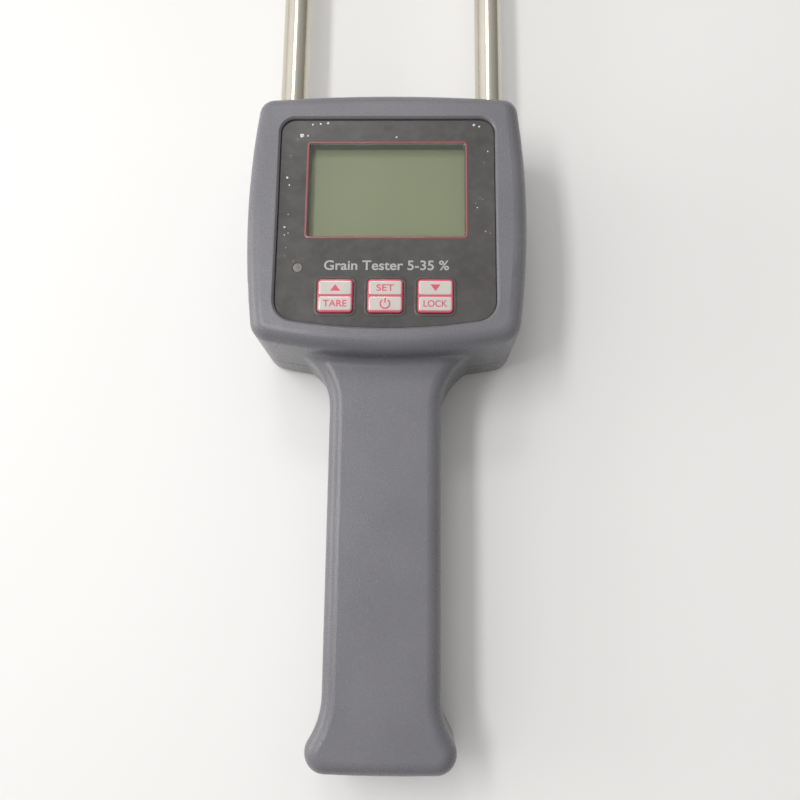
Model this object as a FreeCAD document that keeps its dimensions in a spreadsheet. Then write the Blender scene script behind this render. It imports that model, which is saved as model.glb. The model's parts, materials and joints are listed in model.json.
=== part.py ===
import FreeCAD, Part

import math
import os

import Sketcher

os.makedirs("parts", exist_ok=True)
Vector = FreeCAD.Vector
doc = FreeCAD.newDocument("grain_moisture_meter")

# The meter lies on its flat back. X is its width, +Y points along the probe rods, +Z out of the display.
# The origin is on the back, under the centre of the head. All sizes are in millimetres.
SIZES = {
    # housing, head
    "head_side_radius": 230.0,
    "head_top_radius": 420.0,
    "head_low_radius": 152.0,
    "head_top_x": 34.3,
    "head_top_y": 34.6,
    "head_low_x": 34.05,
    "head_low_y": -31.8,
    "head_top_round": 4.2,
    "head_low_round": 5.5,
    "head_height": 35.0,
    "rim_round": 3.8,
    "back_round": 3.0,
    "wall": 2.2,
    "split_height": 12.0,
    "seam_chamfer": 0.25,
    # screws that close the housing
    "boss_radius": 2.7,
    "butt_boss_radius": 2.3,
    "butt_boss_top": 21.0,
    "boss_foot": 1.0,
    "screw_head_radius": 1.75,
    "screw_head_height": 1.3,
    "screw_shank_radius": 1.15,
    "screw_end": 19.6,
    "pilot_radius": 1.2,
    "pilot_end": 20.0,
    "clearance_radius": 1.35,
    "counterbore_radius": 1.85,
    "counterbore_depth": 2.4,
    # housing, handle
    "grip_half_width": 14.5,
    "grip_height": 26.0,
    "grip_round": 3.6,
    "grip_roof": 23.5,
    "neck_radius": 17.5,
    "neck_end_y": -48.4,
    "neck_root_x": 28.0,
    "neck_root_y": -20.0,
    "neck_blend": 2.3,
    "flare_start_y": -119.0,
    "butt_half_width": 18.3,
    "butt_round": 5.0,
    "butt_corner_y": -132.0,
    "butt_end_radius": 440.0,
    "butt_inside_y": -135.0,
    # facia panel, its window and the indicator
    "facia_half_width": 28.3,
    "facia_top": 28.1,
    "facia_low": -27.1,
    "facia_low_radius": 152.0,
    "facia_top_round": 4.0,
    "facia_low_round": 5.5,
    "facia_seat": 33.2,
    "facia_thickness": 0.8,
    "facia_gap": 0.18,
    "facia_lip": 0.5,
    "ceiling": 31.0,
    "window_half_width": 20.6,
    "window_low": -5.05,
    "window_top": 21.2,
    "window_ledge": 0.15,
    "window_gap": 0.04,
    "window_sink": 0.05,
    "indicator_x": -22.6,
    "indicator_y": -13.65,
    "indicator_radius": 1.2,
    "indicator_gap": 0.1,
    "pipe_low": 25.4,
    "pipe_flange_radius": 2.0,
    "led_top": 25.3,
    "led_base_top": 24.6,
    "led_dome_radius": 0.9,
    "led_half_width": 1.5,
    "led_half_length": 1.0,
    # keys and their switches
    "key_pitch": 12.72,
    "key_mid_x": 0.0,
    "key_y": -21.3,
    "key_width": 9.0,
    "key_length": 8.9,
    "key_round": 1.0,
    "key_top": 34.6,
    "key_edge": 0.35,
    "key_gap": 0.15,
    "key_flange_margin": 1.0,
    "key_flange_top": 30.9,
    "key_flange_low": 29.9,
    "key_stem_radius": 2.0,
    "switch_width": 6.0,
    "switch_top": 27.1,
    "switch_well": 25.3,
    "plunger_low": 25.9,
    "plunger_top": 28.3,
    "plunger_radius": 1.7,
    "plunger_gap": 0.1,
    # display stack and board
    "board_low": 22.0,
    "board_top": 23.6,
    "glass_half_width": 22.6,
    "glass_low": -8.3,
    "glass_far": 24.4,
    "glass_under": 28.6,
    "glass_top": 30.95,
    "glass_gap": 0.1,
    "glass_ledge": 3.2,
    "reflector_thickness": 0.5,
    "strip_end": 1.5,
    "strip_inset": 0.2,
    "strip_width": 2.2,
    "frame_wall": 1.6,
    "frame_floor": 26.8,
    "board_half_width": 30.5,
    "board_tail_half_width": 25.6,
    "board_step_y": -13.0,
    "board_near": -29.3,
    "board_far": 26.6,
    "board_hole_radius": 1.2,
    "board_boss_radius": 2.5,
    "board_pilot_radius": 1.1,
    "board_pilot_end": 29.5,
    "board_screw_end": 29.0,
    "board_screw_head_radius": 1.9,
    "board_screw_radius": 1.05,
    # probe
    "rod_x": 28.9,
    "rod_radius": 4.0,
    "rod_neck_radius": 3.7,
    "rod_bore_radius": 3.5,
    "rod_neck_bore_radius": 3.2,
    "rod_neck_gap": 0.05,
    "rod_inner_end": 6.0,
    "rod_shoulder": 35.4,
    "rod_outer_end": 294.8,
    "collar_length": 8.0,
    "collar_spigot": 12.0,
    "stud_radius": 1.5,
    "tip_shank": 4.0,
    "tip_cone": 16.0,
    "tip_flat_radius": 0.6,
    "clamp_half_width": 32.95,
    "clamp_near": 12.0,
    "clamp_far": 24.0,
    "clamp_top": 18.5,
    "clamp_split": 0.1,
    "clamp_screw_end": 5.0,
    "clamp_screw_head_radius": 2.6,
    "clamp_screw_head_height": 2.0,
    "clamp_screw_radius": 1.45,
    "clip_radius": 4.9,
    "clip_thickness": 1.0,
    "lead_radius": 0.8,
    # battery bay and door
    "door_half_width": 11.3,
    "door_flange": 1.0,
    "door_plate": 1.5,
    "door_flange_thickness": 1.0,
    "door_head_y": -41.0,
    "door_gap": 0.1,
    "door_lift": 0.08,
    "door_groove_pitch": 2.4,
    "door_groove_half_width": 0.6,
    "door_groove_half_length": 7.0,
    "door_groove_depth": 0.5,
    "door_groove_y": -52.0,
    "rail_top": 3.8,
    "tray_half_width": 11.9,
    "tray_wall": 1.0,
    "tray_low": 2.8,
    "tray_roof": 14.8,
    "tray_head_y": -38.0,
    "tray_butt_y": -134.4,
    "cell_radius": 5.25,
    "cell_length": 43.7,
    "cell_nub_length": 0.8,
    "cell_nub_radius": 1.9,
    "cell_x": 5.4,
    "cell_z": 8.2,
    "contact_plate": 0.4,
    "contact_low": 4.0,
    "contact_high": 13.0,
    "contact_inner": 1.0,
    "contact_outer": 9.8,
    "battery_lead_z": 11.6,
}


class Size:
    """A length: its number, and the sheet expression that gives it."""

    def __init__(self, number, text):
        self.number = number
        self.text = text

    def __add__(self, other):
        return Size(self.number + number(other), f"({self.text} + {text(other)})")

    def __sub__(self, other):
        return Size(self.number - number(other), f"({self.text} - {text(other)})")

    def __mul__(self, factor):
        return Size(self.number * factor, f"({self.text} * {factor})")

    def __neg__(self):
        return self * -1


def number(length):
    return length.number if isinstance(length, Size) else float(length)


def text(length):
    return length.text if isinstance(length, Size) else str(length)


def fill_sheet():
    """Write the driving dimensions to the sheet, and return each as a Size."""
    sheet = doc.addObject("Spreadsheet::Sheet", "Sizes")
    lengths = {}
    for row, (alias, value) in enumerate(SIZES.items(), start=1):
        sheet.set(f"A{row}", alias)
        sheet.set(f"B{row}", str(value))
        sheet.setAlias(f"B{row}", alias)
        lengths[alias] = Size(value, f"Sizes.{alias}")
    doc.recompute()
    return lengths


S = fill_sheet()
ROD_Z = S["split_height"]
KEY_MIDDLES = {
    "left": S["key_mid_x"] - S["key_pitch"],
    "centre": S["key_mid_x"],
    "right": S["key_mid_x"] + S["key_pitch"],
}
# Housing screws stand at these places: four round the head, two in the butt.
SCREW_PLACES = [(-29.2, -20.5), (29.2, -20.5), (-14.0, 29.8), (14.0, 29.8), (-14.9, -131.0), (14.9, -131.0)]
BOARD_SCREW_PLACES = [(-28.0, 22.0), (28.0, 22.0), (-28.0, -8.0), (28.0, -8.0)]
CLAMP_SCREW_PLACES = [(-20.0, 18.0), (20.0, 18.0)]
PROBE_CONNECTOR_X = 20.0
# How far a cutting tool runs past what it cuts, and how far a joined block reaches into its neighbour.
PAST = 1.0
INTO = 0.5
# Wide enough to hold the whole housing.
REACH = 200.0


# ---------------------------------------------------------------- building blocks


def bind(thing, prop, length):
    """Bind one property of an object to a length."""
    thing.setExpression(prop, text(length))


def new_body(name):
    body = doc.addObject("PartDesign::Body", name)
    body.Label = name
    return body


def new_sketch(body, name, height=0.0, role="XY_Plane"):
    """A sketch on one of the body's own origin planes, raised by height."""
    plane = next(feature for feature in body.Origin.OriginFeatures if feature.Role == role)
    sketch = body.newObject("Sketcher::SketchObject", name)
    sketch.AttachmentSupport = [(plane, "")]
    sketch.MapMode = "FlatFace"
    bind(sketch, "AttachmentOffset.Base.z", height)
    return sketch


def constrain(sketch, kind, *rest):
    """Add a constraint. A length at its end is bound to the sheet."""
    if isinstance(rest[-1], Size):
        index = sketch.addConstraint(Sketcher.Constraint(kind, *rest[:-1], rest[-1].number))
        sketch.setExpression(f"Constraints[{index}]", rest[-1].text)
    else:
        sketch.addConstraint(Sketcher.Constraint(kind, *rest))


def fix_point(sketch, place, x=None, y=None):
    """Hold a point, given as (edge, end), at x, y. None leaves that direction free."""
    if x is not None:
        constrain(sketch, "DistanceX", -1, 1, *place, x)
    if y is not None:
        constrain(sketch, "DistanceY", -1, 1, *place, y)


def point(x, y):
    return Vector(number(x), number(y), 0)


def add_line(sketch, first, last):
    """Add a line, and return its first and last ends as (edge, end)."""
    edge = sketch.addGeometry(Part.LineSegment(first, last), False)
    return (edge, 1), (edge, 2)


def add_arc(sketch, first, crown, last):
    """Add an arc, and return its first and last ends. A sketch numbers an arc's ends anticlockwise."""
    edge = sketch.addGeometry(Part.Arc(first, crown, last), False)
    if (crown - first).cross(last - crown).z > 0:
        return (edge, 1), (edge, 2)
    return (edge, 2), (edge, 1)


def crown_of(first, last, radius, bulge):
    """The middle of the arc of the given radius from first to last, on the bulge side of the chord."""
    half = (last - first).Length / 2
    return (first + last) * 0.5 + bulge * (radius - math.sqrt(radius**2 - half**2))


def rectangle(sketch, left, right, near, far):
    corners = [(left, near), (right, near), (right, far), (left, far)]
    ends = [add_line(sketch, point(*corners[i]), point(*corners[(i + 1) % 4])) for i in range(4)]
    for i in range(4):
        constrain(sketch, "Coincident", *ends[i][1], *ends[(i + 1) % 4][0])
        constrain(sketch, "Horizontal" if i % 2 == 0 else "Vertical", ends[i][0][0])
    fix_point(sketch, ends[0][0], as_size(left), as_size(near))
    fix_point(sketch, ends[2][0], as_size(right), as_size(far))


def as_size(length):
    return length if isinstance(length, Size) else Size(float(length), str(length))


def circle(sketch, x, y, radius):
    edge = sketch.addGeometry(Part.Circle(point(x, y), Vector(0, 0, 1), number(radius)), False)
    constrain(sketch, "Radius", edge, as_size(radius))
    fix_point(sketch, (edge, 3), as_size(x), as_size(y))


def polygon(sketch, corners):
    """A closed outline of straight lines, each corner held at its place."""
    count = len(corners)
    ends = [add_line(sketch, point(*corners[i]), point(*corners[(i + 1) % count])) for i in range(count)]
    for i in range(count):
        constrain(sketch, "Coincident", *ends[i][1], *ends[(i + 1) % count][0])
        fix_point(sketch, ends[i][0], as_size(corners[i][0]), as_size(corners[i][1]))


def pad(body, sketch, length):
    feature = body.newObject("PartDesign::Pad", "Pad")
    feature.Profile = sketch
    bind(feature, "Length", length)
    doc.recompute()


def pocket(body, sketch, length, reverse=False):
    """Cut down from the sketch by length, or upwards when reversed, and make sure that it cut."""
    before = body.Shape.Volume
    feature = body.newObject("PartDesign::Pocket", "Pocket")
    feature.Profile = sketch
    feature.Reversed = reverse
    bind(feature, "Length", length)
    doc.recompute()
    if body.Shape.Volume > before - 0.001:
        raise RuntimeError(f"{body.Label}: a pocket cut nothing")


def edge_names(shape, wanted):
    return [f"Edge{i}" for i, edge in enumerate(shape.Edges, start=1) if wanted(edge)]


def round_edges(body, radius, wanted, kind="Fillet"):
    """Fillet or chamfer the wanted edges of the body's last feature."""
    base = body.Tip
    feature = body.newObject(f"PartDesign::{kind}", kind)
    feature.Base = (base, edge_names(base.Shape, wanted))
    bind(feature, "Radius" if kind == "Fillet" else "Size", radius)
    doc.recompute()


def upright(edge):
    """True for a straight edge along Z."""
    box = edge.BoundBox
    return box.XLength < 0.001 and box.YLength < 0.001


def level(height):
    """A test for the edges that lie flat at one height."""
    return lambda edge: abs(edge.Vertexes[0].Z - number(height)) < 0.01 and edge.BoundBox.ZLength < 0.01


def block(name, left, right, near, far, low, high):
    """A Part box between the given limits."""
    box = doc.addObject("Part::Box", name)
    box.Label = name
    limits = [("Length", left, right, "x"), ("Width", near, far, "y"), ("Height", low, high, "z")]
    for side, first, last, axis in limits:
        bind(box, side, as_size(last) - first)
        bind(box, f"Placement.Base.{axis}", first)
    return box


def rod(name, x, y, low, high, radius, axis="z"):
    """A Part cylinder along Z. When axis is y it runs along Y from low to high, and y is its height."""
    cylinder = doc.addObject("Part::Cylinder", name)
    cylinder.Label = name
    bind(cylinder, "Radius", radius)
    bind(cylinder, "Height", as_size(high) - low)
    bind(cylinder, "Placement.Base.x", x)
    if axis == "y":
        cylinder.Placement.Rotation = FreeCAD.Rotation(Vector(1, 0, 0), -90)
        bind(cylinder, "Placement.Base.y", low)
        bind(cylinder, "Placement.Base.z", y)
    else:
        bind(cylinder, "Placement.Base.y", y)
        bind(cylinder, "Placement.Base.z", low)
    return cylinder


def joined(name, shapes):
    """One solid from several."""
    fusion = doc.addObject("Part::MultiFuse", name)
    fusion.Label = name
    fusion.Shapes = shapes
    fusion.Refine = True
    return fusion


def cut(name, base, tools):
    """A base with one or more tools taken away."""
    tool = tools[0]
    if len(tools) > 1:
        tool = joined(f"{name}_cutters", tools)
    result = doc.addObject("Part::Cut", name)
    result.Label = name
    result.Base = base
    result.Tool = tool
    return result


def shared(name, base, tool):
    """What two solids have in common."""
    common = doc.addObject("Part::Common", name)
    common.Label = name
    common.Base = base
    common.Tool = tool
    return common


def group(name, pieces):
    """Separate solids that share one node."""
    compound = doc.addObject("Part::Compound", name)
    compound.Label = name
    compound.Links = pieces
    return compound


# ---------------------------------------------------------------- housing


def head_outline(sketch, inset=0.0):
    """Four shallow arcs that bow outwards between the head's corners."""
    top_x = S["head_top_x"] - inset
    top_y = S["head_top_y"] - inset
    low_x = S["head_low_x"] - inset
    low_y = S["head_low_y"] + inset
    corners = [(-top_x, top_y), (top_x, top_y), (low_x, low_y), (-low_x, low_y)]
    radii = [S["head_top_radius"], S["head_side_radius"], S["head_low_radius"], S["head_side_radius"]]
    bulges = [Vector(0, 1, 0), Vector(1, 0, 0), Vector(0, -1, 0), Vector(-1, 0, 0)]
    ends = []
    for i in range(4):
        first = point(*corners[i])
        last = point(*corners[(i + 1) % 4])
        ends.append(add_arc(sketch, first, crown_of(first, last, number(radii[i]), bulges[i]), last))
    for i in range(4):
        constrain(sketch, "Coincident", *ends[i][1], *ends[(i + 1) % 4][0])
        constrain(sketch, "Radius", ends[i][0][0], radii[i] - inset)
        fix_point(sketch, ends[i][0], *corners[i])


def handle_side(sketch, side):
    """One side of the handle, from inside the head to the butt's end: neck, grip, flare and corner."""
    grip_x = number(S["grip_half_width"])
    neck = number(S["neck_radius"])
    neck_y = number(S["neck_end_y"])
    root_x = number(S["neck_root_x"])
    corner = number(S["butt_round"])
    corner_x = number(S["butt_half_width"]) - corner
    corner_y = number(S["butt_corner_y"])
    neck_x = grip_x + neck
    root_end = neck_y + math.sqrt(neck**2 - (neck_x - root_x) ** 2)
    # The flare touches the grip's straight side and the butt's round corner.
    drop = number(S["flare_start_y"]) - corner_y
    gap = corner_x - grip_x
    flare = (gap**2 + drop**2 - corner**2) / (2 * (corner + gap))
    lean = math.atan2(drop, flare - gap)

    def at(x, y):
        return Vector(side * x, y, 0)

    def on_circle(x, y, radius, angle):
        return at(x + radius * math.cos(angle), y + radius * math.sin(angle))

    root = add_line(sketch, at(root_x, number(S["neck_root_y"])), at(root_x, root_end))
    neck_crown = on_circle(neck_x, neck_y, neck, math.radians(140))
    neck_arc = add_arc(sketch, at(root_x, root_end), neck_crown, at(grip_x, neck_y))
    grip = add_line(sketch, at(grip_x, neck_y), at(grip_x, number(S["flare_start_y"])))
    flare_y = number(S["flare_start_y"])
    meet = on_circle(corner_x, corner_y, corner, lean)
    flare_crown = on_circle(grip_x + flare, flare_y, flare, math.pi + lean / 2)
    flare_arc = add_arc(sketch, at(grip_x, flare_y), flare_crown, meet)
    foot = on_circle(corner_x, corner_y, corner, math.radians(-88))
    corner_arc = add_arc(sketch, meet, on_circle(corner_x, corner_y, corner, math.radians(-30)), foot)
    fix_point(sketch, root[0], S["neck_root_x"] * side, S["neck_root_y"])
    constrain(sketch, "Vertical", root[0][0])
    constrain(sketch, "Coincident", *root[1], *neck_arc[0])
    constrain(sketch, "Radius", neck_arc[0][0], S["neck_radius"])
    constrain(sketch, "Tangent", *neck_arc[1], *grip[0])
    fix_point(sketch, grip[0], S["grip_half_width"] * side, S["neck_end_y"])
    constrain(sketch, "Vertical", grip[0][0])
    fix_point(sketch, grip[1], None, S["flare_start_y"])
    constrain(sketch, "Tangent", *grip[1], *flare_arc[0])
    constrain(sketch, "Tangent", *flare_arc[1], *corner_arc[0])
    constrain(sketch, "Radius", corner_arc[0][0], S["butt_round"])
    centre_x = (S["butt_half_width"] - S["butt_round"]) * side
    fix_point(sketch, (corner_arc[0][0], 3), centre_x, S["butt_corner_y"])
    return root[0], corner_arc[1], foot


def handle_outline(sketch):
    right_root, right_foot, right = handle_side(sketch, 1)
    left_root, left_foot, left = handle_side(sketch, -1)
    radius = number(S["butt_end_radius"])
    end = add_arc(sketch, left, crown_of(left, right, radius, Vector(0, -1, 0)), right)
    constrain(sketch, "Tangent", *left_foot, *end[0])
    constrain(sketch, "Tangent", *end[1], *right_foot)
    constrain(sketch, "Radius", end[0][0], S["butt_end_radius"])
    root_x, root_y = S["neck_root_x"], S["neck_root_y"]
    top = add_line(sketch, point(-root_x, root_y), point(root_x, root_y))
    constrain(sketch, "Coincident", *left_root, *top[0])
    constrain(sketch, "Coincident", *top[1], *right_root)


def head_prism(name, inset, low, high):
    """A solid of the head's outline, inset all round, with its four corners rounded."""
    body = new_body(name)
    sketch = new_sketch(body, f"{name}_outline", low)
    head_outline(sketch, inset)
    pad(body, sketch, as_size(high) - low)
    round_edges(body, S["head_top_round"] - inset, lambda edge: upright(edge) and edge.Vertexes[0].Y > 0)
    low_y = number(S["head_low_y"])
    round_edges(body, S["head_low_round"] - inset, lambda edge: upright(edge) and edge.Vertexes[0].Y < low_y + 3)
    return body


def housing_form():
    """The outside of the closed housing, solid right through."""
    head = head_prism("head_form", 0.0, 0.0, S["head_height"])
    round_edges(head, S["rim_round"], level(S["head_height"]))
    round_edges(head, S["back_round"], level(0))
    handle = new_body("handle_form")
    sketch = new_sketch(handle, "handle_form_outline")
    handle_outline(sketch)
    pad(handle, sketch, S["grip_height"])
    round_edges(handle, S["grip_round"], level(S["grip_height"]))
    round_edges(handle, S["back_round"], level(0))
    return joined("housing_form", [head, handle])


def part_edges(name, base, radius, wanted, kind):
    """A Part fillet or chamfer on the wanted edges of a finished shape."""
    doc.recompute()
    feature = doc.addObject(f"Part::{kind}", name)
    feature.Label = name
    feature.Base = base
    size = number(radius)
    feature.Edges = [(i, size, size) for i, edge in enumerate(base.Shape.Edges, start=1) if wanted(edge)]
    return feature


def in_neck(edge):
    """True for the flat edge where the grip's roof runs into the head."""
    box = edge.BoundBox
    roof = number(S["grip_height"])
    return abs(box.ZMin - roof) < 0.01 and box.ZLength < 0.01 and -37 < box.YMin and box.YMax < -30


def housing_cavity():
    """The hollow inside the closed housing, all one space."""
    head = head_prism("head_cavity", S["wall"], S["wall"], S["ceiling"])
    inner = S["grip_half_width"] - S["wall"]
    near = S["butt_inside_y"]
    grip = block("grip_cavity", -inner, inner, near, S["neck_root_y"], S["wall"], S["grip_roof"])
    butt_half = S["butt_half_width"] - S["wall"] * 2
    butt = block("butt_cavity", -butt_half, butt_half, near, near + 10.2, S["wall"], S["grip_roof"])
    return joined("housing_cavity", [head, grip, butt])


def posts(name, places, low, high, radius):
    """One upright cylinder at each place."""
    return [rod(f"{name}_{i}", x, y, low, high, radius) for i, (x, y) in enumerate(places, start=1)]


def rod_holes(name, radius, near, far):
    """A cylinder along each probe rod, to cut a hole with."""
    left = rod(f"{name}_left", -S["rod_x"], ROD_Z, near, far, radius, "y")
    right = rod(f"{name}_right", S["rod_x"], ROD_Z, near, far, radius, "y")
    return [left, right]


def shell_rod_holes(name):
    """Where the rods' necks pass through the head's upper wall."""
    inside = S["clamp_far"] + INTO
    outside = S["rod_shoulder"] + S["wall"] * 2
    return rod_holes(name, S["rod_neck_radius"] + S["rod_neck_gap"], inside, outside)


def facia_plate(name, inset, low, high):
    """A plate of the facia's outline: straight top and sides, and a bowed lower edge."""
    body = new_body(name)
    sketch = new_sketch(body, f"{name}_outline", low)
    side = S["facia_half_width"] - inset
    top = S["facia_top"] - inset
    foot = S["facia_low"] + inset
    radius = S["facia_low_radius"] - inset
    corners = [point(-side, foot), point(side, foot), point(side, top), point(-side, top)]
    crown = crown_of(corners[0], corners[1], number(radius), Vector(0, -1, 0))
    ends = [add_arc(sketch, corners[0], crown, corners[1])]
    for i in (1, 2, 3):
        ends.append(add_line(sketch, corners[i], corners[(i + 1) % 4]))
    places = [(-side, foot), (side, foot), (side, top), (-side, top)]
    for i in range(4):
        constrain(sketch, "Coincident", *ends[i][1], *ends[(i + 1) % 4][0])
        fix_point(sketch, ends[i][0], *places[i])
    constrain(sketch, "Radius", ends[0][0][0], radius)
    pad(body, sketch, as_size(high) - low)
    round_edges(body, S["facia_top_round"] - inset, lambda edge: upright(edge) and edge.Vertexes[0].Y > 0)
    low_y = number(foot) + 1
    round_edges(body, S["facia_low_round"] - inset, lambda edge: upright(edge) and edge.Vertexes[0].Y < low_y)
    return body


def rounded_block(name, left, right, near, far, low, high, radius):
    """A block whose four upright edges are rounded."""
    body = new_body(name)
    sketch = new_sketch(body, f"{name}_outline", low)
    rectangle(sketch, left, right, near, far)
    pad(body, sketch, as_size(high) - low)
    round_edges(body, radius, upright)
    return body


def window_block(name, inset, low, high):
    half = S["window_half_width"] - inset
    near = S["window_low"] + inset
    far = S["window_top"] - inset
    return rounded_block(name, -half, half, near, far, low, high, 1.0)


def key_block(name, middle, margin, low, high, radius):
    """A block of a key's outline, grown by margin."""
    half_width = S["key_width"] * 0.5 + margin
    half_length = S["key_length"] * 0.5 + margin
    y = S["key_y"]
    left, right = middle - half_width, middle + half_width
    return rounded_block(name, left, right, y - half_length, y + half_length, low, high, radius)


def key_holes(name, low, high):
    gap = S["key_gap"]
    return [key_block(f"{name}_{side}", x, gap, low, high, S["key_round"]) for side, x in KEY_MIDDLES.items()]


def indicator_hole(name, low, high):
    radius = S["indicator_radius"] + S["indicator_gap"]
    return rod(name, S["indicator_x"], S["indicator_y"], low, high, radius)


def facia_lip():
    """Cuts the sloping lip round the mouth of the facia's recess."""
    lip = S["facia_lip"]
    body = facia_plate("facia_lip", -lip, S["head_height"] - lip, S["head_height"] + PAST)
    round_edges(body, lip * 0.999, level(S["head_height"] - lip), "Chamfer")
    return body


def make_front_shell(form):
    split = S["split_height"]
    ceiling = S["ceiling"]
    top = S["head_height"] + PAST
    half_space = block("front_half_space", -REACH, REACH, -REACH, REACH, split, top)
    half = shared("front_half", form, half_space)
    half = part_edges("front_half_seam", half, S["seam_chamfer"], level(split), "Chamfer")
    hollow = cut("front_hollow", half, [housing_cavity()])
    bosses = posts("front_boss", SCREW_PLACES[:4], split, ceiling + INTO, S["boss_radius"])
    bosses += posts("front_butt_boss", SCREW_PLACES[4:], split, S["butt_boss_top"], S["butt_boss_radius"])
    bosses += posts("board_boss", BOARD_SCREW_PLACES, S["board_top"], ceiling + INTO, S["board_boss_radius"])
    solid = joined("front_solid", [hollow] + bosses)
    tools = [facia_plate("facia_recess", 0.0, S["facia_seat"], top), facia_lip()]
    tools.append(window_block("window_hole", S["window_ledge"], ceiling - PAST, top))
    tools += key_holes("key_hole", ceiling - PAST, top)
    tools.append(indicator_hole("indicator_hole", ceiling - PAST, top))
    tools += shell_rod_holes("front_rod_hole")
    tools += posts("screw_pilot", SCREW_PLACES, split - PAST, S["pilot_end"], S["pilot_radius"])
    tools += posts("board_pilot", BOARD_SCREW_PLACES, S["board_top"] - PAST, S["board_pilot_end"],
                   S["board_pilot_radius"])
    cut("front_shell", solid, tools)


def door_blocks(name, side_gap, end_gap, lift):
    """The door's plate and its wider flange. The housing form trims their outer faces."""
    half = S["door_half_width"] + side_gap
    wide = half + S["door_flange"]
    near = S["butt_inside_y"] - S["wall"] * 3
    far = S["door_head_y"] + end_gap
    step = S["door_plate"]
    top = step + S["door_flange_thickness"]
    plate = block(f"{name}_plate", -half, half, near, far, -PAST, step)
    flange = block(f"{name}_flange", -wide, wide, near, far, step - lift, top + lift)
    return [plate, flange]


def make_rear_shell(form):
    split = S["split_height"]
    half_space = block("rear_half_space", -REACH, REACH, -REACH, REACH, -PAST, split)
    half = shared("rear_half", form, half_space)
    half = part_edges("rear_half_seam", half, S["seam_chamfer"], level(split), "Chamfer")
    hollow = cut("rear_hollow", half, [doc.getObject("housing_cavity")])
    bosses = posts("rear_boss", SCREW_PLACES[:4], S["boss_foot"], split, S["boss_radius"])
    bosses += posts("rear_butt_boss", SCREW_PLACES[4:], S["boss_foot"], split, S["butt_boss_radius"])
    inner = S["grip_half_width"] - S["wall"] + S["door_gap"] * 2
    rail_x = S["tray_half_width"] + S["door_gap"]
    near, far = S["butt_inside_y"] - S["door_gap"] * 2, S["door_head_y"] + S["door_gap"]
    rail_low, rail_top = S["wall"] - S["door_gap"] * 2, S["rail_top"]
    left_rail = block("left_rail", -inner, -rail_x, near, far, rail_low, rail_top)
    right_rail = block("right_rail", rail_x, inner, near, far, rail_low, rail_top)
    solid = joined("rear_solid", [hollow, left_rail, right_rail] + bosses)
    tools = door_blocks("door_channel", S["door_gap"], S["door_gap"], S["door_lift"])
    tools += shell_rod_holes("rear_rod_hole")
    tools += posts("screw_clearance", SCREW_PLACES, 0.0, split + PAST, S["clearance_radius"])
    tools += posts("screw_counterbore", SCREW_PLACES, -PAST, S["counterbore_depth"], S["counterbore_radius"])
    cut("rear_shell", solid, tools)


def make_battery_door(form):
    """The sliding door, with a row of finger grooves across its outside."""
    trimmed = shared("door_trimmed", form, joined("door_blank", door_blocks("door", 0.0, 0.0, 0.0)))
    grooves = []
    reach, half = S["door_groove_half_length"], S["door_groove_half_width"]
    for i in range(7):
        y = S["door_groove_y"] - S["door_groove_pitch"] * i
        near, far = y - half, y + half
        grooves.append(block(f"door_groove_{i}", -reach, reach, near, far, -PAST, S["door_groove_depth"]))
    cut("battery_door", trimmed, grooves)


def screw(name, x, y, seat, end, head_radius, head_height, shank_radius, up):
    """A pan screw whose head sits below the seat when up is 1, or above it when up is -1."""
    low_head, high_head = sorted([seat, seat - head_height * up], key=number)
    low_shank, high_shank = sorted([seat, end], key=number)
    head = rod(f"{name}_head", x, y, low_head, high_head, head_radius)
    shank = rod(f"{name}_shank", x, y, low_shank, high_shank, shank_radius)
    pin = joined(f"{name}_pin", [head, shank])
    low, high = sorted([seat - head_height * 0.5 * up, seat - (head_height + PAST) * up], key=number)
    arm = number(head_radius) * 0.62
    slot = number(head_radius) * 0.15
    cross_x = block(f"{name}_cross_x", x - arm, x + arm, y - slot, y + slot, low, high)
    cross_y = block(f"{name}_cross_y", x - slot, x + slot, y - arm, y + arm, low, high)
    return cut(name, pin, [cross_x, cross_y])


def screw_set(name, places, *sizes):
    """The same screw at each place, as one node."""
    single = name.removesuffix("s")
    group(name, [screw(f"{single}_{i}", x, y, *sizes) for i, (x, y) in enumerate(places, start=1)])


def make_screws():
    screw_set("housing_screws", SCREW_PLACES, S["counterbore_depth"], S["screw_end"], S["screw_head_radius"],
              S["screw_head_height"], S["screw_shank_radius"], 1)
    screw_set("board_screws", BOARD_SCREW_PLACES, S["board_low"], S["board_screw_end"],
              S["board_screw_head_radius"], S["screw_head_height"], S["board_screw_radius"], 1)
    screw_set("clamp_screws", CLAMP_SCREW_PLACES, S["clamp_top"], S["clamp_screw_end"],
              S["clamp_screw_head_radius"], S["clamp_screw_head_height"], S["clamp_screw_radius"], -1)


# ---------------------------------------------------------------- facia, keys, display


def make_facia():
    """The printed overlay, and the clear window let into it."""
    low = S["facia_seat"]
    high = low + S["facia_thickness"]
    plate = facia_plate("facia_blank", S["facia_gap"], low, high)
    tools = [window_block("facia_window", 0.0, low - PAST, high + PAST)]
    tools += key_holes("facia_key_hole", low - PAST, high + PAST)
    tools.append(indicator_hole("facia_indicator_hole", low - PAST, high + PAST))
    cut("panel_overlay", plate, tools)
    window_block("display_window", S["window_gap"], low, high - S["window_sink"])


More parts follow.
